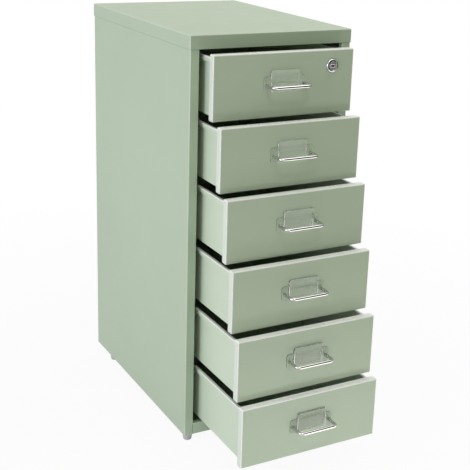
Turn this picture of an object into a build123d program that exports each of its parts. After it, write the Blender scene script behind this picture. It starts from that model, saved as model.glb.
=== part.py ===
"""Slim steel cabinet with a column of drawers, shown with every drawer pulled a little way out.

Millimetres. X runs to the right, Y runs to the back and Z runs up. The origin is on the floor, in the
middle of the cabinet's plan, so the drawers open towards -Y. Every piece is folded sheet steel unless
its section says otherwise.
"""
from build123d import *
import os

# ---------------------------------------------------------------- driving dimensions: carcass
cabinet_width = 280.0  # over the lid
cabinet_depth = 400.0  # over the lid
lid_skirt = 21.0  # how far the lid's edges fold down
lid_clearance = 0.2  # between the lid's skirt and the shell inside it
carcass_sheet = 0.8
carcass_bend = 0.7  # inside radius of the carcass folds
post_width = 15.0  # front and rear folds of each side panel
post_return = 9.0  # second fold of a front post, beside the drawers
post_return_gap = 1.0  # between its lower end and the bottom panel
plinth_height = 19.0  # front fold of the bottom panel
plinth_return = 9.0  # inward fold along the top of the plinth
bottom_flange = 14.0  # side and rear folds of the bottom panel
back_flange = 10.0  # fold along the top of the back panel

# ---------------------------------------------------------------- driving dimensions: drawers
drawer_pull = [38.5, 67.0, 92.5, 116.5, 140.0, 159.0]  # how far each one stands open, from the top
drawer_travel = 280.0  # from shut to the stop
front_height = 98.3
front_gap = 3.0  # between two fronts, and above and below the column
side_gap = 3.5  # between a front and the post beside it
front_depth = 12.5
front_sheet = 0.8
front_bend = 0.8  # inside radius
front_lip = 10.0  # rear folds of a front, which the tray is welded to
tray_sheet = 0.7
tray_bend = 0.7  # inside radius
tray_rear_gap = 13.9  # between a shut tray and the back panel
tray_inset = 7.7  # from a front's side edge to the tray's side
tray_drop = 6.1  # from a front's top edge to the tray's rim
tray_rise = 4.0  # from a front's bottom edge to the tray's bottom
rim_width = 3.5  # the rim folds outwards and down over the runner
rim_height = 7.0
end_rim_width = 4.0  # flat fold along the top of the tray's rear end
ear_width = 7.5  # stop ear at the rear end of each rim
ear_thickness = 1.0

# ---------------------------------------------------------------- driving dimensions: runners
runner_sheet = 1.0
runner_rear_gap = 11.4  # between a runner and the back panel
runner_depth = 8.0  # height of the rail above the runner's shelf
running_gap = 0.3  # between the rim and the rail that carries it
lift_gap = 0.8  # between the rim and the fold above it
shut_gap = 0.5  # between a shut front and the runners' ends
stop_overlap = 5.0  # how far the runner's stop stands in the ear's way

# ---------------------------------------------------------------- driving dimensions: handle and label holder
handle_spacing = 64.0  # between the centres of the legs
handle_wire = 5.0
handle_reach = 26.0  # from the label holder's ears to the outside of the bar
handle_bend = 6.5  # centre-line radius
handle_thread = 8.0  # how deep the screw goes into a leg
screw_diameter = 4.0
screw_head_diameter = 8.0
screw_head_height = 2.4
screw_clearance = 0.25  # radial, in the holes that a screw passes through
label_sheet = 1.0
label_ear_margin = 5.0  # from a leg's centre to the end of the ear
label_ear_height = 26.0
label_leg_gap = 3.75  # between the pocket and each leg
label_height = 33.0
label_rise = 9.5  # from the ears' top to the pocket's top
label_corner = 4.0
label_border = 5.0  # of the raised frame round the window
label_wall = 1.5  # beside and below the card
label_slot = 1.2  # room for the card
label_window = 0.8  # thickness in front of the card
label_frame_rise = 0.7  # how far the frame stands out round the window

# ---------------------------------------------------------------- driving dimensions: lock
lock_from_edge = 38.5
lock_from_top = 25.0
lock_plug_diameter = 14.0
lock_wall = 1.95  # of the barrel round the plug
lock_bezel_rim = 1.5  # how far the bezel stands out round the barrel
lock_bezel_height = 3.0
lock_bezel_round = 2.4
lock_bezel_dish = 0.4  # chamfer round the plug
lock_plug_recess = 0.4
lock_turning_gap = 0.05  # radial
lock_fit_gap = 0.15  # radial, in the sheet
lock_nut_rim = 2.5  # of the nut round the barrel
lock_nut_height = 3.0
lock_tail_diameter = 8.0
lock_tail_gap = 0.3  # between the housing and the cam
keyway_length = 6.0
keyway_width = 1.6
keyway_depth = 9.0
cam_thickness = 2.0
cam_width = 12.0
cam_catch = 4.2  # how far the raised cam stands behind the lid's fold
cam_play = 2.7  # between the raised cam and the lid's fold
cam_screw_head_diameter = 10.0
cam_screw_head_height = 1.8

# ---------------------------------------------------------------- driving dimensions: feet and fasteners
foot_height = 18.0
foot_top_diameter = 19.0
foot_bottom_diameter = 13.5
foot_rim_height = 3.0
foot_edge_round = 1.0
foot_side_inset = 14.5  # from the shell's side to a foot's centre
foot_front_inset = 19.5
foot_rear_inset = 51.0
stud_diameter = 8.0
stud_depth = 11.0  # how deep the stud sits in the foot
nut_width = 13.0
nut_height = 6.5
back_screw_length = 4.8
back_screw_rows = 3
back_screw_margin = 60.0  # from the shell's bottom and the lid's top to the outer rows

# ---------------------------------------------------------------- places worked out from the sizes above
lid_overhang = carcass_sheet + lid_clearance
shell_side = cabinet_width / 2 - lid_overhang
shell_front = -cabinet_depth / 2 + lid_overhang
shell_back = cabinet_depth / 2 - lid_overhang
shell_bottom = foot_height
drawer_count = len(drawer_pull)
skirt_bottom = shell_bottom + plinth_height + drawer_count * front_height + (drawer_count + 1) * front_gap
lid_top = skirt_bottom + lid_skirt
shell_top = lid_top - carcass_sheet
post_edge = shell_side - post_width
outer_bend = carcass_bend + carcass_sheet
back_rear = shell_back - carcass_sheet
back_front = back_rear - carcass_sheet

front_side = post_edge - side_gap
tray_side = front_side - tray_inset
tray_front = shell_front + front_depth
tray_rear = back_front - tray_rear_gap
rail_x = tray_side + (rim_width - tray_sheet) / 2
runner_front = tray_front + shut_gap
runner_rear = back_front - runner_rear_gap
runner_inner = rail_x - runner_sheet / 2
runner_outer = shell_side - carcass_sheet
stop_rear = tray_rear - ear_thickness - drawer_travel - running_gap
leg_x = handle_spacing / 2
ear_out = tray_side + rim_width + ear_width

barrel_diameter = lock_plug_diameter + 2 * (lock_turning_gap + lock_wall)
lock_x = front_side - lock_from_edge
lock_z = skirt_bottom - front_gap - lock_from_top
bezel_front = shell_front - lock_bezel_height
lock_rear = tray_front + tray_sheet + lock_nut_height
cam_front = lock_rear + lock_tail_gap
cam_rear = cam_front + cam_thickness
cam_reach = lock_from_top + front_gap + carcass_sheet + cam_catch


def front_top(number):
    """Height of the top edge of a drawer's front, counted from 1 at the top."""
    return skirt_bottom - front_gap - (number - 1) * (front_height + front_gap)


def rim_top(number):
    return front_top(number) - tray_drop


def handle_z(number):
    return front_top(number) - front_height / 2


# ---------------------------------------------------------------- shapes that several pieces use
def block(x, y, z):
    """A box between two X, two Y and two Z values."""
    middle = [(low + high) / 2 for low, high in (x, y, z)]
    size = [abs(high - low) for low, high in (x, y, z)]
    return Pos(*middle) * Box(*size)


def rod_along_y(x, z, y, diameter):
    """A round bar between two Y values."""
    start, end = sorted(y)
    return Plane((x, start, z), x_dir=(1, 0, 0), z_dir=(0, 1, 0)) * extrude(Circle(diameter / 2), end - start)


def hexagon_along_y(x, z, y, width):
    start, end = sorted(y)
    outline = RegularPolygon(width / 2, 6, major_radius=False)
    return Plane((x, start, z), x_dir=(1, 0, 0), z_dir=(0, 1, 0)) * extrude(outline, end - start)


def mirrored(piece):
    return mirror(piece, Plane.YZ)


# ---------------------------------------------------------------- carcass
def side_panel(side):
    """A web with a folded post at each end. The front post has a second fold beside the drawers."""
    middle_x, depth = (post_edge + shell_side) / 2, shell_back - shell_front
    outer = Pos(middle_x, 0) * Rectangle(post_width, depth)
    outer = fillet(outer.vertices().group_by(Axis.X)[-1], outer_bend)
    inner = Pos(middle_x - carcass_sheet, 0) * Rectangle(post_width, depth - 2 * carcass_sheet)
    inner = fillet(inner.vertices().group_by(Axis.X)[-1], carcass_bend)
    panel = Pos(0, 0, shell_bottom) * extrude(outer - inner, shell_top - shell_bottom)
    low = shell_bottom + carcass_sheet + post_return_gap
    panel -= block(
        (post_edge, post_edge + outer_bend), (shell_front, shell_front + carcass_sheet), (low, skirt_bottom))
    turn = Pos(post_edge, shell_front) * Rectangle(post_return, post_return, align=(Align.MIN, Align.MIN))
    turn = fillet(turn.vertices().group_by(Axis.X)[0].sort_by(Axis.Y)[0], outer_bend)
    hollow = Pos(post_edge + carcass_sheet, shell_front + carcass_sheet) * Rectangle(
        post_return, post_return, align=(Align.MIN, Align.MIN))
    hollow = fillet(hollow.vertices().group_by(Axis.X)[0].sort_by(Axis.Y)[0], carcass_bend)
    panel += Pos(0, 0, low) * extrude(turn - hollow, skirt_bottom - low)
    for x, z in back_screw_places():
        panel -= rod_along_y(x, z, (back_rear - carcass_sheet, shell_back), screw_diameter)
    return panel if side > 0 else mirrored(panel)


def lid():
    """A shallow pan turned over the shell, with a stiffening fold behind its front skirt."""
    half_x, half_y = cabinet_width / 2, cabinet_depth / 2
    outer = block((-half_x, half_x), (-half_y, half_y), (skirt_bottom, lid_top))
    outer = fillet(outer.edges().filter_by(Axis.Z), outer_bend)
    outer = fillet(outer.faces().sort_by(Axis.Z)[-1].edges(), outer_bend)
    inside_x, inside_y = half_x - carcass_sheet, half_y - carcass_sheet
    inner = block((-inside_x, inside_x), (-inside_y, inside_y), (skirt_bottom - lid_skirt, shell_top))
    inner = fillet(inner.edges().filter_by(Axis.Z), carcass_bend)
    fold_x = post_edge - lid_clearance
    fold_y = (-inside_y, cam_front - cam_play)
    fold = block((-fold_x, fold_x), fold_y, (skirt_bottom, skirt_bottom + carcass_sheet))
    return outer - inner + fold


def bottom_panel():
    """A pan with its edges folded up; the front one is the plinth below the lowest drawer."""
    half_x = shell_side - carcass_sheet
    front, rear = shell_front, back_front
    floor_front = front + carcass_sheet
    side_front = front + outer_bend
    top = shell_bottom + carcass_sheet
    plinth_top = shell_bottom + plinth_height
    plinth_x = post_edge - lid_clearance
    floor = block((-half_x, half_x), (side_front, rear), (shell_bottom, top))
    floor += block((-plinth_x, plinth_x), (floor_front, side_front), (shell_bottom, top))
    fold_x = half_x - carcass_sheet
    sides = [
        block((low, low + carcass_sheet), (side_front, rear), (top, shell_bottom + bottom_flange))
        for low in (-half_x, fold_x)]
    back = block((-fold_x, fold_x), (rear - carcass_sheet, rear), (top, shell_bottom + bottom_flange))
    plinth = block((-plinth_x, plinth_x), (front, floor_front), (shell_bottom, plinth_top))
    plinth += block(
        (-plinth_x, plinth_x), (floor_front, front + plinth_return), (plinth_top - carcass_sheet, plinth_top))
    plinth = fillet(
        [e for e in plinth.edges().filter_by(Axis.X)
         if abs(e.center().Y - front) < carcass_sheet / 2 and e.center().Z > top], outer_bend)
    panel = floor + sides[0] + sides[1] + back + plinth
    for x, y in foot_places():
        panel -= Pos(x, y, (shell_bottom + top) / 2) * Cylinder(stud_diameter / 2, carcass_sheet)
    return panel


def back_panel():
    """A plain sheet against the rear posts, stiffened by a fold along its top."""
    half_x = shell_side - outer_bend
    low, high = shell_bottom + carcass_sheet, shell_top
    panel = block((-half_x, half_x), (back_front, back_rear), (low, high))
    fold_y = (back_rear - back_flange, back_rear)
    panel += block((-post_edge, post_edge), fold_y, (high - carcass_sheet, high))
    for x, z in back_screw_places():
        panel -= rod_along_y(x, z, (back_front, back_rear), screw_diameter)
    return panel


def back_screw_places():
    """Screws up both rear posts, level with each other."""
    low, high = shell_bottom + back_screw_margin, lid_top - back_screw_margin
    step = (high - low) / (back_screw_rows - 1)
    middle = post_edge + post_width / 2
    return [(side * middle, low + row * step) for side in (-1, 1) for row in range(back_screw_rows)]


def back_screws():
    """Pan-head screws that hold the back panel to the rear posts."""
    tip = shell_back - back_screw_length
    screws = []
    for x, z in back_screw_places():
        head = rod_along_y(x, z, (shell_back, shell_back + screw_head_height), screw_head_diameter)
        rim = head.faces().sort_by(Axis.Y)[-1].edges()
        head = fillet(rim, screw_head_height / 2)
        screws.append(head + rod_along_y(x, z, (tip, shell_back), screw_diameter))
    return screws


# ---------------------------------------------------------------- runners
def runner(number):
    """Right runner: a channel on the side panel, whose rail carries the drawer's folded rim."""
    top = rim_top(number) - tray_sheet - running_gap
    shelf = top - runner_depth
    cover = rim_top(number) + lift_gap
    y = (runner_front, runner_rear)
    web = block((runner_outer - runner_sheet, runner_outer), y, (shelf - runner_sheet, cover + runner_sheet))
    shelf_plate = block((runner_inner, runner_outer), y, (shelf - runner_sheet, shelf))
    rail = block((runner_inner, runner_inner + runner_sheet), y, (shelf, top))
    cover_plate = block((runner_inner, runner_outer), y, (cover, cover + runner_sheet))
    stop = block(
        (ear_out - stop_overlap, runner_outer), (stop_rear - runner_sheet, stop_rear), (shelf, cover))
    return web + shelf_plate + rail + cover_plate + stop


# ---------------------------------------------------------------- feet
def foot_places():
    x = shell_side - foot_side_inset
    y_front, y_rear = shell_front + foot_front_inset, shell_back - foot_rear_inset
    return [(-x, y_front), (x, y_front), (-x, y_rear), (x, y_rear)]


def foot(x, y):
    """A plastic glide that narrows towards the floor."""
    rim = Pos(x, y, foot_height - foot_rim_height / 2) * Cylinder(foot_top_diameter / 2, foot_rim_height)
    cone_height = foot_height - foot_rim_height
    cone = Pos(x, y, cone_height / 2) * Cone(foot_bottom_diameter / 2, foot_top_diameter / 2, cone_height)
    body = rim + cone
    body = fillet(body.faces().sort_by(Axis.Z)[0].edges(), foot_edge_round)
    return body - Pos(x, y, foot_height - stud_depth / 2) * Cylinder(stud_diameter / 2, stud_depth)


def foot_stud(x, y):
    top = shell_bottom + carcass_sheet + nut_height
    low = foot_height - stud_depth
    return Pos(x, y, (low + top) / 2) * Cylinder(stud_diameter / 2, top - low)


def foot_nut(x, y):
    low = shell_bottom + carcass_sheet
    body = Pos(x, y, low) * extrude(RegularPolygon(nut_width / 2, 6, major_radius=False), nut_height)
    return body - Pos(x, y, low + nut_height / 2) * Cylinder(stud_diameter / 2, nut_height)


# ---------------------------------------------------------------- drawers, drawn shut
def drawer_front(number):
    """A pan whose edges fold back and then inwards, with holes for the handle's screws."""
    top = front_top(number)
    bottom = top - front_height
    outer = block((-front_side, front_side), (shell_front, tray_front), (bottom, top))
    outer = fillet(outer.edges(), front_bend + front_sheet)
    inside = front_side - front_sheet
    hollow = block(
        (-inside, inside), (shell_front + front_sheet, tray_front - front_sheet),
        (bottom + front_sheet, top - front_sheet))
    hollow = fillet(hollow.edges(), front_bend)
    window_x = front_side - front_lip
    window = block(
        (-window_x, window_x), (tray_front - front_sheet, tray_front),
        (bottom + front_lip, top - front_lip))
    pan = outer - hollow - window
    hole = screw_diameter + 2 * screw_clearance
    for x in (-leg_x, leg_x):
        pan -= rod_along_y(x, handle_z(number), (shell_front, tray_front), hole)
    return pan


def tray(number):
    """The open box behind the front. Its rims fold outwards and down, and its rear ears are the stops."""
    rim = rim_top(number)
    bottom = front_top(number) - front_height + tray_rise
    y = (tray_front, tray_rear)
    outer = block((-tray_side, tray_side), y, (bottom, rim))
    outer = fillet(
        [e for e in outer.edges().filter_by(Axis.Y) if e.center().Z < rim - tray_sheet],
        tray_bend + tray_sheet)
    inside = tray_side - tray_sheet
    inner = block(
        (-inside, inside), (y[0] + tray_sheet, y[1] - tray_sheet),
        (bottom + tray_sheet, rim + tray_sheet))
    inner = fillet(
        [e for e in inner.edges().filter_by(Axis.Y) if e.center().Z < rim], tray_bend)
    box = outer - inner
    outside = tray_side + rim_width
    skirt = block((outside - tray_sheet, outside), y, (rim - rim_height, rim))
    cover = block((inside, outside), y, (rim - tray_sheet, rim))
    fold = skirt + cover
    fold = fillet(
        [e for e in fold.edges().filter_by(Axis.Y)
         if e.center().Z > rim - tray_sheet / 2 and e.center().X > outside - tray_sheet / 2], tray_sheet)
    ear = block((outside, ear_out), (y[1] - ear_thickness, y[1]), (rim - rim_height, rim))
    fold += ear
    end_rim = block((-inside, inside), (y[1] - end_rim_width, y[1]), (rim - tray_sheet, rim))
    box = box + fold + mirrored(fold) + end_rim
    hole = screw_diameter + 2 * screw_clearance
    for x in (-leg_x, leg_x):
        box -= rod_along_y(x, handle_z(number), (y[0], y[0] + tray_sheet), hole)
    return box


def handle(number):
    """A round wire bent into a U, with a threaded hole in the end of each leg."""
    z = handle_z(number)
    seat = shell_front - label_sheet
    bar = seat - handle_reach + handle_wire / 2
    corners = [(-leg_x, seat, z), (-leg_x, bar, z), (leg_x, bar, z), (leg_x, seat, z)]
    path = FilletPolyline(*corners, radius=handle_bend)
    section = Plane((-leg_x, seat, z), x_dir=(1, 0, 0), z_dir=(0, -1, 0)) * Circle(handle_wire / 2)
    wire = sweep(section, path=path)
    for x in (-leg_x, leg_x):
        wire -= rod_along_y(x, z, (seat - handle_thread, seat), screw_diameter)
    return wire


def handle_screws(number):
    """Two long screws from inside the tray, through the tray's end and the front, into the legs."""
    z = handle_z(number)
    head_front = tray_front + tray_sheet
    screws = []
    for x in (-leg_x, leg_x):
        head = rod_along_y(x, z, (head_front, head_front + screw_head_height), screw_head_diameter)
        head = fillet(head.faces().sort_by(Axis.Y)[-1].edges(), screw_head_height / 2)
        shank = rod_along_y(x, z, (shell_front - label_sheet - handle_thread, head_front), screw_diameter)
        screws.append(head + shank)
    return screws


def label_holder(number):
    """Clear plastic: ears held under the handle's legs and a framed pocket that takes a card from above."""
    z = handle_z(number)
    back, plate = shell_front, shell_front - label_sheet
    window_face = plate - label_slot - label_window
    frame_face = window_face - label_frame_rise
    ear_x = leg_x + label_ear_margin
    ears_low, ears_high = z - label_ear_height / 2, z + label_ear_height / 2
    pocket_top = ears_high + label_rise
    pocket_low = pocket_top - label_height
    half = leg_x - handle_wire / 2 - label_leg_gap
    ears = block((-ear_x, ear_x), (plate, back), (ears_low, ears_high))
    ears = fillet(ears.edges().filter_by(Axis.Y), label_corner)
    pocket = block((-half, half), (frame_face, back), (pocket_low, pocket_top))
    pocket = fillet(pocket.edges().filter_by(Axis.Y), label_corner)
    pocket = fillet(pocket.faces().sort_by(Axis.Y)[0].edges(), label_frame_rise)
    window_x = half - label_border
    window = block(
        (-window_x, window_x), (frame_face, window_face),
        (pocket_low + label_border, pocket_top - label_border))
    card_x = half - label_wall
    slot = block((-card_x, card_x), (plate - label_slot, plate), (pocket_low + label_wall, pocket_top))
    holder = ears + pocket - window - slot
    hole = screw_diameter + 2 * screw_clearance
    for x in (-leg_x, leg_x):
        holder -= rod_along_y(x, z, (plate, back), hole)
    return holder


# ---------------------------------------------------------------- the top drawer's lock, shut and unlocked
def lock_hole(y):
    return rod_along_y(lock_x, lock_z, y, barrel_diameter + 2 * lock_fit_gap)


def lock_housing():
    """A round bezel on the front, with a barrel that reaches through the front and the tray's end."""
    bezel = rod_along_y(lock_x, lock_z, (bezel_front, shell_front), barrel_diameter + 2 * lock_bezel_rim)
    bezel = fillet(bezel.faces().sort_by(Axis.Y)[0].edges(), lock_bezel_round)
    barrel = rod_along_y(lock_x, lock_z, (shell_front, lock_rear), barrel_diameter)
    bore = rod_along_y(lock_x, lock_z, (bezel_front, lock_rear), lock_plug_diameter + 2 * lock_turning_gap)
    housing = bezel + barrel - bore
    mouth = housing.edges().filter_by(GeomType.CIRCLE).group_by(Axis.Y)[0].sort_by(SortBy.RADIUS)[0]
    return chamfer(mouth, lock_bezel_dish)


def lock_plug():
    """The part that the key turns, with a tail behind it for the cam. Its keyway lies level."""
    front = bezel_front + lock_plug_recess
    plug = rod_along_y(lock_x, lock_z, (front, lock_rear), lock_plug_diameter)
    tail = rod_along_y(lock_x, lock_z, (lock_rear, cam_rear), lock_tail_diameter)
    keyway = block(
        (lock_x - keyway_length / 2, lock_x + keyway_length / 2), (front, front + keyway_depth),
        (lock_z - keyway_width / 2, lock_z + keyway_width / 2))
    return plug + tail - keyway


def lock_nut():
    """A hexagon nut on the barrel, against the tray's front end."""
    y = (tray_front + tray_sheet, lock_rear)
    outline = hexagon_along_y(lock_x, lock_z, y, barrel_diameter + 2 * lock_nut_rim)
    return outline - rod_along_y(lock_x, lock_z, y, barrel_diameter)


def lock_cam():
    """A flat arm on the plug's tail, level when unlocked. It swings up behind the lid's front fold."""
    y = (cam_front, cam_rear)
    arm = block((lock_x - cam_reach, lock_x), y, (lock_z - cam_width / 2, lock_z + cam_width / 2))
    arm += rod_along_y(lock_x, lock_z, y, cam_width)
    return arm - rod_along_y(lock_x, lock_z, y, lock_tail_diameter)


def lock_cam_screw():
    y = (cam_rear, cam_rear + cam_screw_head_height)
    head = rod_along_y(lock_x, lock_z, y, cam_screw_head_diameter)
    return fillet(head.faces().sort_by(Axis.Y)[-1].edges(), cam_screw_head_height / 2)


# ---------------------------------------------------------------- the pieces, each in its place
def pieces():
    """Every piece by name. The drawers stand open by their own pull."""
    made = {
        "side_panel_left": side_panel(-1),
        "side_panel_right": side_panel(1),
        "lid": lid(),
        "bottom_panel": bottom_panel(),
        "back_panel": back_panel(),
        "back_panel_screws": back_screws(),
        "foot_studs": [foot_stud(x, y) for x, y in foot_places()],
        "foot_nuts": [foot_nut(x, y) for x, y in foot_places()],
    }
    foot_names = ["foot_front_left", "foot_front_right", "foot_rear_left", "foot_rear_right"]
    for name, (x, y) in zip(foot_names, foot_places()):
        made[name] = foot(x, y)
    for number in range(1, drawer_count + 1):
        made[f"runner_right_{number}"] = runner(number)
        made[f"runner_left_{number}"] = mirrored(runner(number))
        drawer = {
            "front": drawer_front(number),
            "tray": tray(number),
            "handle": handle(number),
            "handle_screws": handle_screws(number),
            "label_holder": label_holder(number),
        }
        if number == 1:
            drawer["front"] -= lock_hole((shell_front, tray_front))
            drawer["tray"] -= lock_hole((tray_front, tray_front + tray_sheet))
            drawer["lock_housing"] = lock_housing()
            drawer["lock_plug"] = lock_plug()
            drawer["lock_nut"] = lock_nut()
            drawer["lock_cam"] = lock_cam()
            drawer["lock_cam_screw"] = lock_cam_screw()
        pulled = Pos(0, -drawer_pull[number - 1], 0)
        for name, piece in drawer.items():
            parts = piece if isinstance(piece, list) else [piece]
            made[f"drawer_{number}_{name}"] = [pulled * part for part in parts]
    return made


os.makedirs("parts", exist_ok=True)
for node, piece in pieces().items():
    parts = piece if isinstance(piece, list) else [piece]
    solids = [solid for part in parts for solid in part.solids()]
    export_step(solids[0] if len(solids) == 1 else Compound(children=solids), f"parts/{node}.step")
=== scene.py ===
"""Slim steel cabinet in sage green powder coat. Each of its six drawers is further out than the one above.

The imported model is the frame. Sheet-metal pieces keep their own meshes and get their finish here. Handles,
label holders, screws, feet and the lock's bezel are made again as smooth surfaces. Lengths are metres in the
frame's own axes, or millimetres where a comment says so.
"""
import math

import bpy
import numpy as np
from mathutils import Matrix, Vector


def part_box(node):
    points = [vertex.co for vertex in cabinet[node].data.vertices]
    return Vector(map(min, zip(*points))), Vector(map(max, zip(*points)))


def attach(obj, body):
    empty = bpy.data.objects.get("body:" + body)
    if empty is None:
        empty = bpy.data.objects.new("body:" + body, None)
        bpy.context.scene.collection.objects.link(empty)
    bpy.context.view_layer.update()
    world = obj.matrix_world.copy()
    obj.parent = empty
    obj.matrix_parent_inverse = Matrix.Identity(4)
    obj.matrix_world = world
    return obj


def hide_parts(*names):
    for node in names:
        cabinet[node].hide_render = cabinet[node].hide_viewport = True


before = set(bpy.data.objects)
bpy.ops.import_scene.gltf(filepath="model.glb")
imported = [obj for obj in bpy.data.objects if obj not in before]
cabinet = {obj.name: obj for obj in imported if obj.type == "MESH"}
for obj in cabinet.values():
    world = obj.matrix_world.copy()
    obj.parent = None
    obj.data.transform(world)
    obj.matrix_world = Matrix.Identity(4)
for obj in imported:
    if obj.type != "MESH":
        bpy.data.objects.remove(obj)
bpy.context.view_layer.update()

# ---------------------------------------------------------------- where the photographer stood
# Left of the cabinet's front and a little above its lid, with a long lens held slightly out of level.
# The picture's centre isn't the lens's, so a small shift moves it there.
PICTURE_PIXELS = 470
FOCAL_PIXELS, AXIS_PIXEL = 1027.1, (265.0, 194.5)
TURN, DIP, LEAN = math.radians(29.808), math.radians(16.834), math.radians(2.176)
STANDPOINT = (-0.7760, -1.5444, 0.8822)

forward = np.array([math.sin(TURN) * math.cos(DIP), math.cos(TURN) * math.cos(DIP), -math.sin(DIP)])
level_right = np.cross(forward, (0, 0, 1)) / np.linalg.norm(np.cross(forward, (0, 0, 1)))
level_up = np.cross(level_right, forward)
right = math.cos(LEAN) * level_right + math.sin(LEAN) * level_up
up = -math.sin(LEAN) * level_right + math.cos(LEAN) * level_up
lens = bpy.data.cameras.new("viewpoint")
lens.sensor_fit, lens.sensor_width = "HORIZONTAL", 36.0
lens.lens = FOCAL_PIXELS / PICTURE_PIXELS * lens.sensor_width
lens.shift_x = (PICTURE_PIXELS / 2 - AXIS_PIXEL[0]) / PICTURE_PIXELS
lens.shift_y = (AXIS_PIXEL[1] - PICTURE_PIXELS / 2) / PICTURE_PIXELS
lens.clip_start, lens.clip_end = 0.05, 60.0
viewpoint = bpy.data.objects.new("viewpoint", lens)
stance = np.eye(4)
stance[:3, 0], stance[:3, 1], stance[:3, 2], stance[:3, 3] = right, up, -forward, STANDPOINT
viewpoint.matrix_world = Matrix(stance.tolist())
bpy.context.scene.collection.objects.link(viewpoint)
bpy.context.scene.camera = viewpoint

# ---------------------------------------------------------------- side panels, lid, bottom and back
# Folded sheet steel under a satin sage powder coat. The coat is slightly cloudy and has the fine peel of
# baked powder. A pale colour round every fold is a painted highlight. The broad panels are never quite flat.
SAGE = (0.425, 0.539, 0.373)
FOLD_HIGHLIGHT_COLOUR = (0.93, 0.96, 0.89)
CARCASS_FOLD_HIGHLIGHT = 0.35
HIGHLIGHT_BAND = 0.0008  # width over which a painted highlight comes in
# painted shadow under the lid skirt: darkness, start below the skirt, fade band; then the skirt's height
SKIRT_SHADOW, SKIRT_SHADOW_DEPTH, SKIRT_SHADOW_BAND, LID_SKIRT = 0.55, 0.0010, 0.0002, 0.021
DENT_DEPTH, PEEL_DEPTH = 0.0016, 0.000022


class Recipe:
    """A new material's nodes, with short ways to add a step fed by numbers or by other steps' outputs."""

    def __init__(self, name):
        self.material = bpy.data.materials.new(name)
        self.material.use_nodes = True
        self.nodes = self.material.node_tree.nodes
        self.link = self.material.node_tree.links.new
        self.surface = self.nodes["Principled BSDF"]
        self.place = self.nodes.new("ShaderNodeTexCoord").outputs["Object"]

    def feed(self, socket, value):
        if isinstance(value, (int, float, tuple)):
            socket.default_value = value
        else:
            self.link(value, socket)

    def number(self, kind, *values, clamp=False):
        step = self.nodes.new("ShaderNodeMath")
        step.operation, step.use_clamp = kind, clamp
        for socket, value in zip(step.inputs, values):
            self.feed(socket, value)
        return step.outputs[0]

    def cloud(self, per_metre, detail=2.0):
        texture = self.nodes.new("ShaderNodeTexNoise")
        texture.inputs["Scale"].default_value, texture.inputs["Detail"].default_value = per_metre, detail
        self.link(self.place, texture.inputs["Vector"])
        return texture.outputs["Fac"]

    def spread(self, value, low, high, start=0.0, stop=1.0):
        """Low at start, high at stop, and straight between them."""
        step = self.nodes.new("ShaderNodeMapRange")
        for name, number in (("From Min", start), ("From Max", stop), ("To Min", low), ("To Max", high)):
            step.inputs[name].default_value = number
        self.link(value, step.inputs["Value"])
        return step.outputs[0]

    def shade(self, colour, value):
        step = self.nodes.new("ShaderNodeVectorMath")
        step.operation = "SCALE"
        step.inputs[0].default_value = colour
        self.link(value, step.inputs["Scale"])
        return step.outputs[0]

    def blend(self, value, first, second):
        step = self.nodes.new("ShaderNodeMix")
        step.data_type = "RGBA"
        sockets = {socket.identifier: socket for socket in step.inputs}
        self.feed(sockets["Factor_Float"], value)
        self.feed(sockets["A_Color"], first)
        self.feed(sockets["B_Color"], second)
        return next(socket for socket in step.outputs if socket.identifier == "Result_Color")

    def relief(self, height, depth, under=None):
        step = self.nodes.new("ShaderNodeBump")
        step.inputs["Strength"].default_value, step.inputs["Distance"].default_value = 1.0, depth
        self.link(height, step.inputs["Height"])
        if under is not None:
            self.link(under, step.inputs["Normal"])
        return step.outputs[0]

    def fill(self, **inputs):
        for name, value in inputs.items():
            self.feed(self.surface.inputs[name.replace("_", " ")], value)
        return self.material


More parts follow.
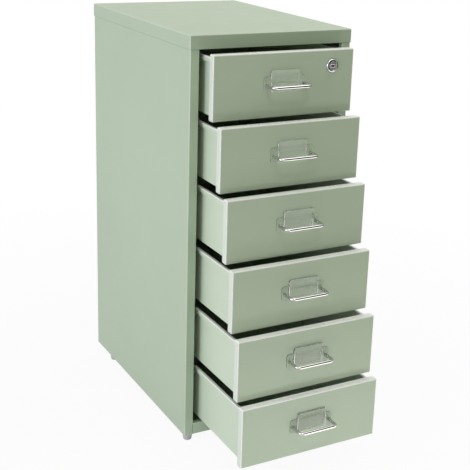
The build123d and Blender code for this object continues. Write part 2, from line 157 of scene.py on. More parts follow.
def powder_coat(name, colour, fold_highlight=1.0, highlight_from=(), shadow_above=None):
    """Baked powder on folded sheet.

    Every sheet lies square to the axes, so 1 - max(|x|, |y|, |z|) of the surface's direction is nil on the
    flats and 0.3 halfway round a fold. That share, broken up by a fine cloud, blends in a painted highlight.
    Each (axis, place, strength) in the list of edges also paints a highlight past a place along x, y or z.
    Above the given height, a painted shadow under the lid's skirt darkens the coat.
    """
    coat = Recipe(name)
    direction = coat.nodes.new("ShaderNodeNewGeometry").outputs["Normal"]
    size = coat.nodes.new("ShaderNodeVectorMath")
    size.operation = "ABSOLUTE"
    coat.link(direction, size.inputs[0])
    parts = coat.nodes.new("ShaderNodeSeparateXYZ")
    coat.link(size.outputs[0], parts.inputs[0])
    x, y, z = parts.outputs
    squareness = coat.number("MAXIMUM", coat.number("MAXIMUM", x, y), z)
    # painted highlight: the coat is blended towards a pale colour round folds
    fold = coat.spread(squareness, 0.0, fold_highlight, start=0.996, stop=0.93)
    painted_highlight = coat.number("MULTIPLY", fold, coat.spread(coat.cloud(160.0, 3.0), 0.55, 1.15), clamp=True)
    spot = coat.nodes.new("ShaderNodeSeparateXYZ")
    coat.link(coat.place, spot.inputs[0])
    # painted highlights past each given place along an axis
    for axis, start, highlight_strength in highlight_from:
        edge_highlight = coat.spread(spot.outputs[axis], 0.0, highlight_strength, start, start + HIGHLIGHT_BAND)
        painted_highlight = coat.number("MAXIMUM", painted_highlight, edge_highlight)
    drift = coat.spread(coat.cloud(4.5), 0.955, 1.045)
    fleck = coat.spread(coat.cloud(1300.0), 0.97, 1.03)
    tone = coat.number("MULTIPLY", drift, fleck)
    # painted shadow: the coat is darkened just under the lid's skirt
    if shadow_above is not None:
        painted_shadow = coat.spread(spot.outputs[2], 1.0, SKIRT_SHADOW, shadow_above, shadow_above + SKIRT_SHADOW_BAND)
        tone = coat.number("MULTIPLY", tone, painted_shadow)
    flat_colour = coat.shade(colour, tone)
    satin = coat.spread(coat.cloud(38.0, 3.0), 0.33, 0.43)
    satin = coat.number("SUBTRACT", satin, coat.number("MULTIPLY", painted_highlight, 0.10))
    dents = coat.relief(coat.cloud(5.5, 1.0), DENT_DEPTH)
    peel = coat.relief(coat.cloud(640.0), PEEL_DEPTH, under=dents)
    return coat.fill(Base_Color=coat.blend(painted_highlight, flat_colour, (*FOLD_HIGHLIGHT_COLOUR, 1)), Roughness=satin, Normal=peel)


def finish(names, material):
    """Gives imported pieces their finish, mesh untouched."""
    for name in names:
        cabinet[name].material_slots[0].material = material


under_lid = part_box("lid")[1].z - LID_SKIRT
# the carcass's folds get a weaker painted highlight
finish(["lid", "bottom_panel"], powder_coat("sage_carcass", SAGE, CARCASS_FOLD_HIGHLIGHT))
# the side panels and back carry a painted shadow just under the lid's skirt
finish(["side_panel_left", "side_panel_right", "back_panel"],
       powder_coat("sage_panels", SAGE, CARCASS_FOLD_HIGHLIGHT, shadow_above=under_lid - SKIRT_SHADOW_DEPTH))

# ---------------------------------------------------------------- back panel screws
# Zinc-plated steel screws with bright pan heads and a cross recess. Three down each edge of the back panel
# hold it to the rear posts.
BRIGHT_ZINC = (0.66, 0.67, 0.68)
# a recess arm's length, width and wall as shares of the head's radius, and its depth as a share of the height
RECESS_ARM, RECESS_WIDTH, RECESS_WALL, RECESS_DEPTH = 0.62, 0.26, 0.06, 0.62
RECESS_SLOPE = 1.3  # how steeply an arm's floor comes up at its end


def zinc_plate(name, colour, roughness):
    """Plated steel whose patches, a few millimetres wide, differ a little in tone and gloss."""
    plate = Recipe(name)
    patches = plate.nodes.new("ShaderNodeTexVoronoi")
    patches.inputs["Scale"].default_value = 260.0
    plate.link(plate.place, patches.inputs["Vector"])
    tone = plate.spread(patches.outputs["Color"], 0.86, 1.08)
    gloss = plate.spread(patches.outputs["Color"], roughness - 0.06, roughness + 0.08)
    grain = plate.relief(plate.cloud(1800.0), 0.000012)
    return plate.fill(Base_Color=plate.shade(colour, tone), Metallic=1.0, Roughness=gloss, Normal=grain)


def skin(name, solids, material, endless=False):
    """One mesh over closed rings of points, each solid an array of rings by points by three.

    A quad joins each pair of neighbours on a ring to the same pair on the next ring. A flat face closes each
    end, or the last ring joins the first where the solid is endless. Edges sharper than 38 degrees stay sharp.
    """
    points, faces, base = [], [], 0
    for rings in solids:
        count, sides = rings.shape[:2]
        rows = count if endless else count - 1
        row, column = np.meshgrid(np.arange(rows), np.arange(sides), indexing="ij")
        ahead, across = (row + 1) % count, (column + 1) % sides
        quads = [row * sides + column, row * sides + across, ahead * sides + across, ahead * sides + column]
        faces += (np.stack(quads, axis=-1).reshape(-1, 4) + base).tolist()
        if not endless:
            last = base + (count - 1) * sides
            faces += [list(range(base, base + sides))[::-1], list(range(last, last + sides))]
        points.append(rings.reshape(-1, 3))
        base += count * sides
    mesh = bpy.data.meshes.new(name)
    mesh.from_pydata(np.concatenate(points).tolist(), [], faces)
    mesh.polygons.foreach_set("use_smooth", [True] * len(faces))
    mesh.set_sharp_from_angle(angle=math.radians(38))
    mesh.materials.append(material)
    piece = bpy.data.objects.new(name, mesh)
    bpy.context.scene.collection.objects.link(piece)
    return piece


def cross_head(centre_x, centre_z, seat, radius, height, shank_radius, shank_end, turn, sides=96):
    """A pan head that faces the back, with a cross recess, and its shank.

    At radius r the head stands height * (1 - (r / radius) ** 2.8) ** (1 / 2.2) off its seat. A recess arm is
    cut from that: full depth in the middle, nil at the arm's end, with steep walls.
    """
    angle = np.linspace(0, 2 * math.pi, sides, endpoint=False)
    reach = radius * np.sin(np.linspace(0.02, math.pi / 2, 34))
    x, z = reach[:, None] * np.cos(angle), reach[:, None] * np.sin(angle)
    rise = height * np.clip(1 - (reach / radius) ** 2.8, 0, 1)[:, None] ** (1 / 2.2) + 0 * x

    def arm(along, across):
        wall = np.clip((RECESS_WIDTH * radius / 2 - abs(across)) / (RECESS_WALL * radius), 0, 1)
        return wall * np.clip(RECESS_SLOPE * (1 - abs(along) / (RECESS_ARM * radius)), 0, 1)

    u, v = x * math.cos(turn) + z * math.sin(turn), z * math.cos(turn) - x * math.sin(turn)
    rise -= RECESS_DEPTH * height * np.maximum(arm(u, v), arm(v, u))
    head = np.stack([centre_x + x, seat + rise, centre_z + z], axis=-1)
    shank_r = np.array([shank_radius, shank_radius, shank_radius * 0.9, shank_radius * 0.5])
    shank_y = np.array([seat, shank_end + shank_radius / 2, shank_end + shank_radius / 4, shank_end])
    ring = np.stack([np.cos(angle), 0 * angle, np.sin(angle)], axis=-1)
    middle = np.stack([centre_x + 0 * shank_y, shank_y, centre_z + 0 * shank_y], axis=-1)
    return np.concatenate([head, middle[:, None, :] + shank_r[:, None, None] * ring])


def places_of(node, gap=0.02):
    """Middles (x, z) of a group's separate solids, told apart by gaps along x and along z."""
    flat = np.empty(3 * len(cabinet[node].data.vertices))
    cabinet[node].data.vertices.foreach_get("co", flat)
    flat = flat.reshape(-1, 3)

    def clumps(values):
        levels = np.unique(np.round(values, 5))
        parts = np.split(levels, np.where(np.diff(levels) > gap)[0] + 1)
        return [(part.min(), part.max()) for part in parts]

    return [(sum(x) / 2, sum(z) / 2) for x in clumps(flat[:, 0]) for z in clumps(flat[:, 2])]


bright_zinc = zinc_plate("bright_zinc", BRIGHT_ZINC, 0.26)
low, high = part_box("back_panel_screws")
PAN_RADIUS, PAN_HEIGHT, SHANK_RADIUS = 0.004, 0.0024, 0.002
back_screws = skin("back_panel_pan_screws", [
    cross_head(x, z, high.y - PAN_HEIGHT, PAN_RADIUS, PAN_HEIGHT, SHANK_RADIUS, low.y, turn=0.5 + 1.1 * k)
    for k, (x, z) in enumerate(places_of("back_panel_screws"))], bright_zinc)
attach(back_screws, "cabinet")
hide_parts("back_panel_screws")

# ---------------------------------------------------------------- feet, with their studs and nuts
# Light grey glides of moulded plastic that narrow towards the floor, one at each corner. Each is screwed on
# by a zinc-plated stud and nut.
GLIDE_GREY = (0.56, 0.56, 0.55)
# radius and height of the glide's outline in millimetres, from the middle of its sole up over its collar
GLIDE_OUTLINE = np.array([
    (0.3, 0.0), (4.8, 0.0), (5.7, 0.03), (6.2, 0.2), (6.55, 0.55), (6.72, 1.0), (7.0, 2.5), (7.4, 5.2),
    (7.9, 8.2), (8.5, 11.4), (9.0, 13.9), (9.05, 14.2), (8.92, 14.45), (8.92, 14.75), (9.1, 15.0),
    (9.38, 15.05), (9.5, 15.25), (9.5, 17.3), (9.42, 17.7), (9.1, 18.0), (0.3, 18.0)]) / 1000


def turned(outline, centre, along, side, sides=64):
    """Rings round a straight line: centre + height * along + radius * (cos(t) * side + sin(t) * across)."""
    along, side = np.array(along, float), np.array(side, float)
    t = np.linspace(0, 2 * math.pi, sides, endpoint=False)
    ring = np.cos(t)[:, None] * side + np.sin(t)[:, None] * np.cross(along, side)
    return np.array(centre) + outline[:, 0, None, None] * ring + outline[:, 1, None, None] * along


def moulded_plastic(name, colour):
    """Matt plastic with a fine moulded grain and a few scuffs."""
    plastic = Recipe(name)
    scuff = plastic.cloud(160.0, 4.0)
    grain = plastic.relief(plastic.cloud(2200.0), 0.00002)
    return plastic.fill(Base_Color=plastic.shade(colour, plastic.spread(scuff, 0.90, 1.08)),
                        Roughness=plastic.spread(scuff, 0.42, 0.60), Normal=grain)


glide_plastic = moulded_plastic("glide_grey", GLIDE_GREY)
for corner in ("front_left", "front_right", "rear_left", "rear_right"):
    low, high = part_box(f"foot_{corner}")
    middle = ((low.x + high.x) / 2, (low.y + high.y) / 2, low.z)
    glide = skin(f"glide_{corner}", [turned(GLIDE_OUTLINE, middle, (0, 0, 1), (1, 0, 0))], glide_plastic)
    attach(glide, "cabinet")
    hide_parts(f"foot_{corner}")
finish(["foot_nuts", "foot_studs"], bright_zinc)

# ---------------------------------------------------------------- runners
# Channels folded from dull zinc-plated steel, one on each side panel for every drawer. Each has a rail that
# carries the folded rim of the drawer's tray.
DRAWERS = range(1, 7)
DULL_ZINC = (0.42, 0.43, 0.43)
finish([f"runner_{side}_{n}" for side in ("left", "right") for n in DRAWERS],
       zinc_plate("runner_zinc", DULL_ZINC, 0.42))

# ---------------------------------------------------------------- drawer fronts and trays
# Folded sheet steel, the trays thinner than the fronts and spot-welded behind them. They share the carcass's
# sage, painted a shade lighter on the fronts and lighter still on the trays as painted light. Painted
# highlights pale the fronts' folds, top and turned-in edges and the trays' folds and rims.
# lighter copies of the carcass's sage: painted light on the fronts and trays
LIT_FRONT_SAGE = (0.494, 0.598, 0.420)
LIT_TRAY_SAGE = (0.60, 0.72, 0.53)
# painted highlights on the fronts' turned-in and top edges and the trays' rims: where each starts, how strong
RETURN_START, RETURN_HIGHLIGHT = 0.0008, 0.5
TOP_DEPTH, TOP_HIGHLIGHT = 0.0022, 1.0
RIM_DEPTH, RIM_HIGHLIGHT = 0.0022, 0.85
for n in DRAWERS:
    low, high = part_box(f"drawer_{n}_front")
    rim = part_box(f"drawer_{n}_tray")[1].z
    front_edges = [(1, low.y + RETURN_START, RETURN_HIGHLIGHT), (2, high.z - TOP_DEPTH, TOP_HIGHLIGHT)]
    finish([f"drawer_{n}_front"], powder_coat(f"sage_front_{n}", LIT_FRONT_SAGE, highlight_from=front_edges))
    tray_rim = [(2, rim - RIM_DEPTH, RIM_HIGHLIGHT)]
    finish([f"drawer_{n}_tray"], powder_coat(f"sage_tray_{n}", LIT_TRAY_SAGE, highlight_from=tray_rim))

# ---------------------------------------------------------------- handles and their screws
# Five-millimetre steel wire bent into a U and chrome plated. Two long screws from inside the tray go through
# its end and the front into the ends of the legs.
WIRE_RADIUS, WIRE_BEND = 0.0025, 0.0065
CHROME = (0.58, 0.58, 0.56)


def polished_chrome(name, colour, roughness):
    """Chrome plate with faint smears from handling."""
    chrome = Recipe(name)
    smear = chrome.spread(chrome.cloud(90.0, 4.0), roughness * 0.6, roughness * 1.5)
    tone = chrome.spread(chrome.cloud(400.0), 0.96, 1.03)
    return chrome.fill(Base_Color=chrome.shade(colour, tone), Metallic=1.0, Roughness=smear)


def tube(path, radius, upward, sides=28, endless=False):
    """A round tube along a path that is square to upward.

    Each ring is centre + radius * (cos(t) * side + sin(t) * upward), with side square to the path and upward.
    """
    upward = np.array(upward, float)
    run = np.roll(path, -1, axis=0) - np.roll(path, 1, axis=0) if endless else np.gradient(path, axis=0)
    run /= np.linalg.norm(run, axis=1, keepdims=True)
    side = np.cross(upward, run)
    t = np.linspace(0, 2 * math.pi, sides, endpoint=False)
    ring = np.cos(t)[None, :, None] * side[:, None, :] + np.sin(t)[None, :, None] * upward
    return path[:, None, :] + radius * ring


def handle_path(left, right_end, seat, reach, height):
    """Leg, quarter turn, bar, quarter turn, leg: straight runs joined by arcs of WIRE_BEND."""
    turn = np.linspace(0, math.pi / 2, 17)
    first = np.stack([np.full(5, left), np.linspace(seat, reach + WIRE_BEND, 6)[:-1]], axis=1)
    bend = np.stack([left + WIRE_BEND * (1 - np.cos(turn)), reach + WIRE_BEND * (1 - np.sin(turn))], axis=1)
    bar_x = np.linspace(left + WIRE_BEND, right_end - WIRE_BEND, 12)[1:-1]
    half = np.concatenate([first, bend])
    other = np.stack([left + right_end - half[::-1, 0], half[::-1, 1]], axis=1)
    flat = np.concatenate([half, np.stack([bar_x, np.full(len(bar_x), reach)], axis=1), other])
    return np.column_stack([flat, np.full(len(flat), height)])


handle_chrome = polished_chrome("handle_chrome", CHROME, 0.02)
for n in DRAWERS:
    low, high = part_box(f"drawer_{n}_handle")
    path = handle_path(
        low.x + WIRE_RADIUS, high.x - WIRE_RADIUS, high.y, low.y + WIRE_RADIUS, (low.z + high.z) / 2)
    wire = skin(f"drawer_{n}_wire_handle", [tube(path, WIRE_RADIUS, (0, 0, 1))], handle_chrome)
    low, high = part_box(f"drawer_{n}_handle_screws")
    screws = skin(f"drawer_{n}_handle_pan_screws", [
        cross_head(x, z, high.y - PAN_HEIGHT, PAN_RADIUS, PAN_HEIGHT, SHANK_RADIUS, low.y,
                   turn=0.3 + 0.9 * (n + k))
        for k, (x, z) in enumerate(places_of(f"drawer_{n}_handle_screws"))], bright_zinc)
    for piece, node, finish_slot in ((wire, "handle", "chrome"), (screws, "handle_screws", "zinc_steel")):
        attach(piece, f"drawer_{n}")
        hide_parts(f"drawer_{n}_{node}")

# ---------------------------------------------------------------- label holders
# Clear moulded plastic: a back plate whose ears are clamped under the handle's legs, a wall on three sides of
# the card's slot, and a framed window in front of it. The slot is open at the top. Sizes in millimetres.
EAR_HALF, EAR_LOW, EAR_TOP, PLATE = 37.0, -10.0, 13.0, 1.0
OUTER_CORNER, INNER_CORNER, SMALLEST_CORNER = 4.0, 1.2, 0.2
POCKET_HALF, POCKET_LOW, POCKET_TOP = 25.75, -10.0, 22.5
WALL, WALL_BEND, WALL_SHORTFALL = 1.5, 3.25, 0.4  # the wall ends a little below the pocket's top
WINDOW_BACK, WINDOW_FACE, FRAME_FACE, FRAME_BORDER = 2.25, 3.0, 3.7, 5.0
HAIR_GAP = 0.05  # between the front and the plate, and on both sides of the wall


def rounded(corners, radii, inset, steps=8):
    """A right-angled outline, drawn in by inset, with rounded corners, as an array of points (x, z).

    An arc starts radius before its corner along the incoming side and ends radius after it along the outgoing
    side. Drawing in makes an outer corner's radius smaller and an inner corner's larger.
    """
    come = corners - np.roll(corners, 1, axis=0)
    come /= np.linalg.norm(come, axis=1, keepdims=True)
    go = np.roll(come, -1, axis=0)
    inward = np.stack([-come[:, 1] - go[:, 1], come[:, 0] + go[:, 0]], axis=1)
    outer = np.sign(come[:, 0] * go[:, 1] - come[:, 1] * go[:, 0])
    radius = np.maximum(radii - outer * inset, SMALLEST_CORNER)[:, None]
    centre = corners + inset * inward + radius * (go - come)
    turn = np.linspace(0, math.pi / 2, steps)[None, :, None]
    arcs = centre[:, None] + radius[:, None] * (come[:, None] * np.sin(turn) - go[:, None] * np.cos(turn))
    return arcs.reshape(-1, 2)


def stacked(corners, radii, steps, centre):
    """Outlines stacked towards the viewer, one for each (inset, distance in front of the drawer) of steps."""
    rings = []
    for inset, ahead in steps:
        x, z = rounded(corners, radii, inset).T / 1000
        y = np.full(len(x), centre[1] - ahead / 1000)
        rings.append(np.column_stack([centre[0] + x, y, centre[2] + z]))
    return np.array(rings)


def slot_wall(centre):
    """A square-edged strip along the pocket's left side, bottom and right side."""
    half, low, top = POCKET_HALF - WALL / 2, POCKET_LOW + WALL / 2, POCKET_TOP - WALL_SHORTFALL
    turn = np.linspace(0, math.pi / 2, 8)
    left_x, left_z = -half + WALL_BEND * (1 - np.cos(turn)), low + WALL_BEND * (1 - np.sin(turn))
    path = np.array([(-half, top), *zip(left_x, left_z), *zip(-left_x[::-1], left_z[::-1]), (half, top)])
    run = np.gradient(path, axis=0)
    run /= np.linalg.norm(run, axis=1, keepdims=True)
    side = np.stack([-run[:, 1], run[:, 0]], axis=1)
    across = np.array([-WALL, -WALL, WALL, WALL]) / 2
    ahead = np.array([PLATE, WINDOW_BACK, WINDOW_BACK, PLATE]) + np.array([1, -1, -1, 1]) * HAIR_GAP
    flat = path[:, None] + across[None, :, None] * side[:, None]
    depth = np.broadcast_to(ahead, flat.shape[:2])
    x, z = flat[..., 0] / 1000, flat[..., 1] / 1000
    return np.stack([centre[0] + x, centre[1] - depth / 1000, centre[2] + z], axis=-1)


def clear_plastic(name):
    """Clear plastic with faint scuffs. Lamps shine through it, so that its shadow stays faint."""
    clear = Recipe(name)
    haze = clear.spread(clear.cloud(300.0, 4.0), 0.02, 0.10)
    clear.fill(Base_Color=(0.985, 0.99, 0.975, 1), Transmission_Weight=1.0, IOR=1.46, Roughness=haze)
    rays, through, either = (clear.nodes.new(kind) for kind in (
        "ShaderNodeLightPath", "ShaderNodeBsdfTransparent", "ShaderNodeMixShader"))
    through.inputs["Color"].default_value = (0.975, 0.985, 0.975, 1)
    clear.link(rays.outputs["Is Shadow Ray"], either.inputs[0])
    clear.link(clear.surface.outputs[0], either.inputs[1])
    clear.link(through.outputs[0], either.inputs[2])
    clear.link(either.outputs[0], clear.nodes["Material Output"].inputs["Surface"])
    return clear.material


plate_corners = np.array([
    (-EAR_HALF, EAR_LOW), (EAR_HALF, EAR_LOW), (EAR_HALF, EAR_TOP), (POCKET_HALF, EAR_TOP),
    (POCKET_HALF, POCKET_TOP), (-POCKET_HALF, POCKET_TOP), (-POCKET_HALF, EAR_TOP), (-EAR_HALF, EAR_TOP)])
plate_radii = np.array([
    OUTER_CORNER, OUTER_CORNER, OUTER_CORNER, INNER_CORNER,
    OUTER_CORNER, OUTER_CORNER, INNER_CORNER, OUTER_CORNER])
plate_steps = [(0.2, HAIR_GAP), (0, 0.25), (0, 0.7), (0.1, 0.9), (0.3, PLATE)]
pocket_corners = np.array([
    (-POCKET_HALF, POCKET_LOW), (POCKET_HALF, POCKET_LOW),
    (POCKET_HALF, POCKET_TOP), (-POCKET_HALF, POCKET_TOP)])
frame_steps = [
    (0.2, WINDOW_BACK), (0, WINDOW_BACK + 0.2), (0, 3.0), (0.1, 3.4), (0.35, 3.62), (0.7, FRAME_FACE),
    (FRAME_BORDER - 0.6, FRAME_FACE), (FRAME_BORDER - 0.2, 3.6), (FRAME_BORDER, 3.35),
    (FRAME_BORDER, WINDOW_FACE)]
holder_plastic = clear_plastic("clear_label_holder")
for n in DRAWERS:
    low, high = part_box(f"drawer_{n}_label_holder")
    centre = ((low.x + high.x) / 2, high.y, high.z - POCKET_TOP / 1000)
    holder = skin(f"drawer_{n}_label_frame", [
        stacked(plate_corners, plate_radii, plate_steps, centre), slot_wall(centre),
        stacked(pocket_corners, np.full(4, OUTER_CORNER), frame_steps, centre)], holder_plastic)
    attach(holder, f"drawer_{n}")
    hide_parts(f"drawer_{n}_label_holder")

# ---------------------------------------------------------------- lock of the top drawer
# A chromed bezel and barrel, and a turned nickel plug with a raised lip round its level keyway. Behind the
# front sit a nut, the cam that the plug swings, and the cam's screw.
BEZEL_ROUND, BEZEL_HEIGHT, MOUTH_CHAMFER = 0.0024, 0.0030, 0.0004
BARREL_RADIUS, BORE_RADIUS = 0.0090, 0.00705
NICKEL = (0.60, 0.60, 0.60)
LIP_HALF_LENGTH, LIP_HALF_WIDTH, LIP_RADIUS = 0.0042, 0.0023, 0.0006

low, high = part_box("drawer_1_lock_housing")
lock_x, lock_z, bezel_radius = (low.x + high.x) / 2, (low.z + high.z) / 2, (high.x - low.x) / 2
length = high.y - low.y
arc = np.linspace(0, math.pi / 2, 15)
shoulder = np.stack([
    bezel_radius - BEZEL_ROUND * (1 - np.cos(arc)), length - BEZEL_ROUND * (1 - np.sin(arc))], axis=1)
housing_outline = np.concatenate([
    [(BORE_RADIUS, 0), (BARREL_RADIUS, 0)],
    [(BARREL_RADIUS, length - BEZEL_HEIGHT), (bezel_radius, length - BEZEL_HEIGHT)],
    shoulder, [(BORE_RADIUS + MOUTH_CHAMFER, length), (BORE_RADIUS, length - MOUTH_CHAMFER)]])
lock_chrome = polished_chrome("lock_chrome", CHROME, 0.04)
housing_rings = turned(housing_outline, (lock_x, high.y, lock_z), (0, -1, 0), (1, 0, 0), sides=96)
housing = skin("drawer_1_lock_bezel", [housing_rings], lock_chrome, endless=True)
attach(housing, "drawer_1")
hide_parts("drawer_1_lock_housing")


def turned_nickel(name, colour, centre):
    """Nickel plate whose turning marks are rings about the lock's own line."""
    nickel = Recipe(name)
    centred = nickel.nodes.new("ShaderNodeMapping")
    centred.inputs["Location"].default_value = [-value for value in centre]
    nickel.link(nickel.place, centred.inputs["Vector"])
    rings = nickel.nodes.new("ShaderNodeTexWave")
    rings.wave_type, rings.rings_direction = "RINGS", "Y"
    rings.inputs["Scale"].default_value, rings.inputs["Distortion"].default_value = 1500.0, 0.4
    nickel.link(centred.outputs[0], rings.inputs["Vector"])
    marks = nickel.relief(rings.outputs["Fac"], 0.00002)
    tone = nickel.spread(nickel.cloud(700.0, 3.0), 0.88, 1.08)
    return nickel.fill(Base_Color=nickel.shade(colour, tone), Metallic=1.0,
                       Roughness=nickel.spread(rings.outputs["Fac"], 0.38, 0.50), Normal=marks)


lock_nickel = turned_nickel("lock_nickel", NICKEL, (lock_x, low.y, lock_z))
finish(["drawer_1_lock_plug"], lock_nickel)
low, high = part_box("drawer_1_lock_plug")
# the lip runs round the keyway in four quarter turns, two at each end, joined by straights
corner = np.linspace(0, math.pi / 2, 7)[:-1] + np.array([[0], [1], [2], [3]]) * math.pi / 2
side_of = np.array([[1], [-1], [-1], [1]])
lip_x = lock_x + side_of * (LIP_HALF_LENGTH - LIP_HALF_WIDTH) + LIP_HALF_WIDTH * np.cos(corner)
lip_z = lock_z + LIP_HALF_WIDTH * np.sin(corner)
lip_path = np.stack([lip_x, np.full(corner.shape, low.y), lip_z], axis=-1).reshape(-1, 3)
lip_rings = tube(lip_path, LIP_RADIUS, (0, -1, 0), sides=14, endless=True)
lip = skin("drawer_1_keyway_lip", [lip_rings], lock_chrome, endless=True)
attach(lip, "lock_core")
finish(["drawer_1_lock_nut", "drawer_1_lock_cam"], bright_zinc)
low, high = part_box("drawer_1_lock_cam_screw")
cam_screw_rings = cross_head(lock_x, lock_z, low.y, (high.x - low.x) / 2, high.y - low.y,
                             SHANK_RADIUS, low.y - 2 * SHANK_RADIUS, turn=0.4)
cam_screw = skin("drawer_1_cam_pan_screw", [cam_screw_rings], bright_zinc)
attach(cam_screw, "lock_core")
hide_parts("drawer_1_lock_cam_screw")

# ---------------------------------------------------------------- floor
# A plain white floor. The camera sees it mostly as white paper, wholly so away from the cabinet, and the
# cabinet's faint shadow stays on it.
FLOOR_HALF, PAPER_NEAR = 12.0, 0.94
SHADOW_FULL, SHADOW_GONE = 0.4, 1.2  # distances from the cabinet's middle


def seen_directly(tree):
    """1 for rays from the camera, off metal or through clear plastic before any matt surface, else 0."""
    rays = tree.nodes.new("ShaderNodeLightPath")
    seen = rays.outputs["Is Camera Ray"]
    for operation, kind in (
            ("MAXIMUM", "Is Glossy Ray"), ("MAXIMUM", "Is Transmission Ray"), ("SUBTRACT", "Diffuse Depth")):
        step = tree.nodes.new("ShaderNodeMath")
        step.operation, step.use_clamp = operation, True
        tree.links.new(seen, step.inputs[0])
        tree.links.new(rays.outputs[kind], step.inputs[1])
        seen = step.outputs[0]
    return seen


paper_floor = Recipe("white_floor")
paper_floor.fill(Base_Color=(0.80, 0.80, 0.80, 1), Roughness=0.9, Specular_IOR_Level=0.0)
paper, both, distance = (paper_floor.nodes.new(kind) for kind in (
    "ShaderNodeEmission", "ShaderNodeMixShader", "ShaderNodeVectorMath"))
paper.inputs["Color"].default_value = (1, 1, 1, 1)
distance.operation = "LENGTH"
paper_floor.link(paper_floor.place, distance.inputs[0])
whiteness = paper_floor.spread(
    distance.outputs["Value"], PAPER_NEAR, 1.0, start=SHADOW_FULL, stop=SHADOW_GONE)
seen = seen_directly(paper_floor.material.node_tree)
paper_floor.link(paper_floor.number("MULTIPLY", seen, whiteness), both.inputs[0])
paper_floor.link(paper_floor.surface.outputs[0], both.inputs[1])
paper_floor.link(paper.outputs[0], both.inputs[2])
paper_floor.link(both.outputs[0], paper_floor.nodes["Material Output"].inputs["Surface"])


def staging(name, corners, material):
    """A flat sheet that belongs to the studio."""
    mesh = bpy.data.meshes.new(name)
    mesh.from_pydata(corners, [], [(0, 1, 2, 3)])
    mesh.materials.append(material)
    sheet = bpy.data.objects.new(name, mesh)
    bpy.context.scene.collection.objects.link(sheet)
    return sheet


floor = staging("floor", [
    (-FLOOR_HALF, -FLOOR_HALF, 0), (FLOOR_HALF, -FLOOR_HALF, 0),
    (FLOOR_HALF, FLOOR_HALF, 0), (-FLOOR_HALF, FLOOR_HALF, 0)], paper_floor.material)

# ---------------------------------------------------------------- studio light
# White surroundings, two broad cool lamps from the left, warmer ones overhead and behind, and weaker ones
# high in front and just above the floor. One more lights only the chromed pieces. Cloths that are seen only
# in reflections give the chrome its dark line and the bezel its darker side.
AMBIENT, AMBIENT_TINT = 0.30, (1.0, 1.0, 0.94, 1)
COOL, WARM = (0.87, 0.83, 1.0), (1.0, 0.98, 0.95)
world = bpy.data.worlds.new("studio")
world.use_nodes = True
bpy.context.scene.world = world
tree = world.node_tree
ambient, backdrop = tree.nodes["Background"], tree.nodes.new("ShaderNodeBackground")
both = tree.nodes.new("ShaderNodeMixShader")
ambient.inputs["Color"].default_value, ambient.inputs["Strength"].default_value = AMBIENT_TINT, AMBIENT
backdrop.inputs["Color"].default_value = (1, 1, 1, 1)
for plug, socket in (
        (seen_directly(tree), both.inputs[0]), (ambient.outputs[0], both.inputs[1]),
        (backdrop.outputs[0], both.inputs[2]),
        (both.outputs[0], tree.nodes["World Output"].inputs["Surface"])):
    tree.links.new(plug, socket)


def softbox(name, place, aim, width, height, watts, tint):
    """A rectangular lamp at a place, turned to face a point, and out of the camera's sight."""
    lamp = bpy.data.lights.new(name, "AREA")
    lamp.shape, lamp.size, lamp.size_y, lamp.energy, lamp.color = "RECTANGLE", width, height, watts, tint
    holder = bpy.data.objects.new(name, lamp)
    back = np.array(place, float) - np.array(aim, float)
    back /= np.linalg.norm(back)
    across = np.cross((0, 0, 1), back)
    across = across / np.linalg.norm(across) if np.linalg.norm(across) > 0.1 else np.array([1.0, 0, 0])
    turn = np.eye(4)
    turn[:3, 0], turn[:3, 1], turn[:3, 2], turn[:3, 3] = across, np.cross(back, across), back, place
    holder.matrix_world = Matrix(turn.tolist())
    holder.visible_camera = False
    bpy.context.scene.collection.objects.link(holder)
    return holder


softbox("lamp_left", (-1.9, 0.0, 0.3), (0, 0, 0.25), 1.6, 1.6, 17.5, COOL)
softbox("lamp_left_front", (-1.9, -0.75, 0.7), (0, -0.25, 0.3), 1.0, 1.0, 9.5, COOL)
softbox("lamp_overhead", (0.5, -0.1, 2.4), (0.1, 0, 0.6), 1.8, 1.6, 17.8, WARM)
softbox("lamp_front_high", (-0.5, -1.6, 2.2), (0, -0.25, 0.4), 0.4, 0.3, 5.4, WARM)
softbox("lamp_behind", (1.9, 1.6, 0.7), (0, 0, 0.35), 1.2, 1.2, 15.0, WARM).visible_glossy = False

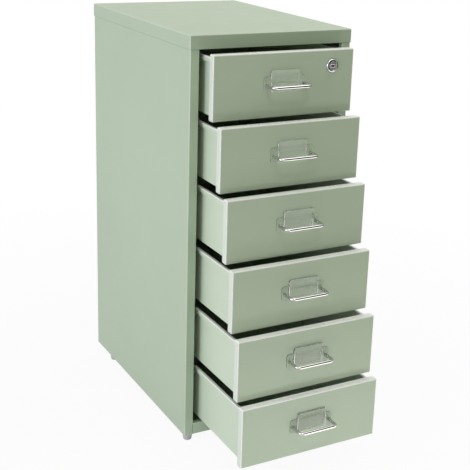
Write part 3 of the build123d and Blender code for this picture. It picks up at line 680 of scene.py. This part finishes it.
# the two low lamps would draw a line across the floor, so they leave it out
off_floor = bpy.data.collections.new("lit_but_floor")
off_floor.objects.link(floor)
off_floor.collection_objects[0].light_linking.link_state = "EXCLUDE"
for low_lamp in (softbox("lamp_front_low", (0.12, -1.2, 0.04), (0, -0.38, 0.08), 0.2, 0.06, 0.9, COOL),
                 softbox("lamp_floor_strip", (0.0, -0.53, 0.012), (0.0, -0.36, 0.06), 0.7, 0.05, 0.26, COOL)):
    low_lamp.visible_glossy = low_lamp.visible_transmission = False
    low_lamp.light_linking.receiver_collection = off_floor

chrome_lamp = softbox("lamp_for_chrome", (0.45, -0.72, 0.01), (0.45, -0.72, 1.0), 0.9, 0.7, 3.4, WARM)
chrome_lamp.visible_diffuse = False
chromed = bpy.data.collections.new("chromed_pieces")
handles = [bpy.data.objects[f"drawer_{n}_wire_handle"] for n in DRAWERS]
for piece in [housing, lip, cabinet["drawer_1_lock_plug"], *handles]:
    chromed.objects.link(piece)
chrome_lamp.light_linking.receiver_collection = chromed

# mirrored only: a dark cloth across the front on the right, a pale one that lies at its foot, and a grey one
# beyond the right side
CLOTH_LIFT = 0.004  # of the one that lies, above the floor
lying = [(x, y, CLOTH_LIFT) for x, y in ((-0.1, -1.25), (1.4, -1.25), (1.4, -0.86), (-0.1, -0.86))]
for name, shade, corners in (
        ("dark_cloth", 0.02, [(0.0, -1.25, 0), (1.4, -0.95, 0), (1.4, -0.95, 1.7), (0.0, -1.25, 1.7)]),
        ("grey_floor_cloth", 0.50, lying),
        ("grey_cloth", 0.16, [(1.5, -1.1, 0), (1.7, 0.9, 0), (1.7, 0.9, 0.9), (1.5, -1.1, 0.9)])):
    cloth = Recipe(name)
    cloth.fill(Base_Color=(shade, shade, shade, 1), Roughness=1.0)
    hanging = staging(name, corners, cloth.material)
    hanging.visible_camera = hanging.visible_diffuse = False
    hanging.visible_transmission = hanging.visible_shadow = False

# ---------------------------------------------------------------- picture settings and the end
bpy.context.scene.view_settings.view_transform = "Standard"
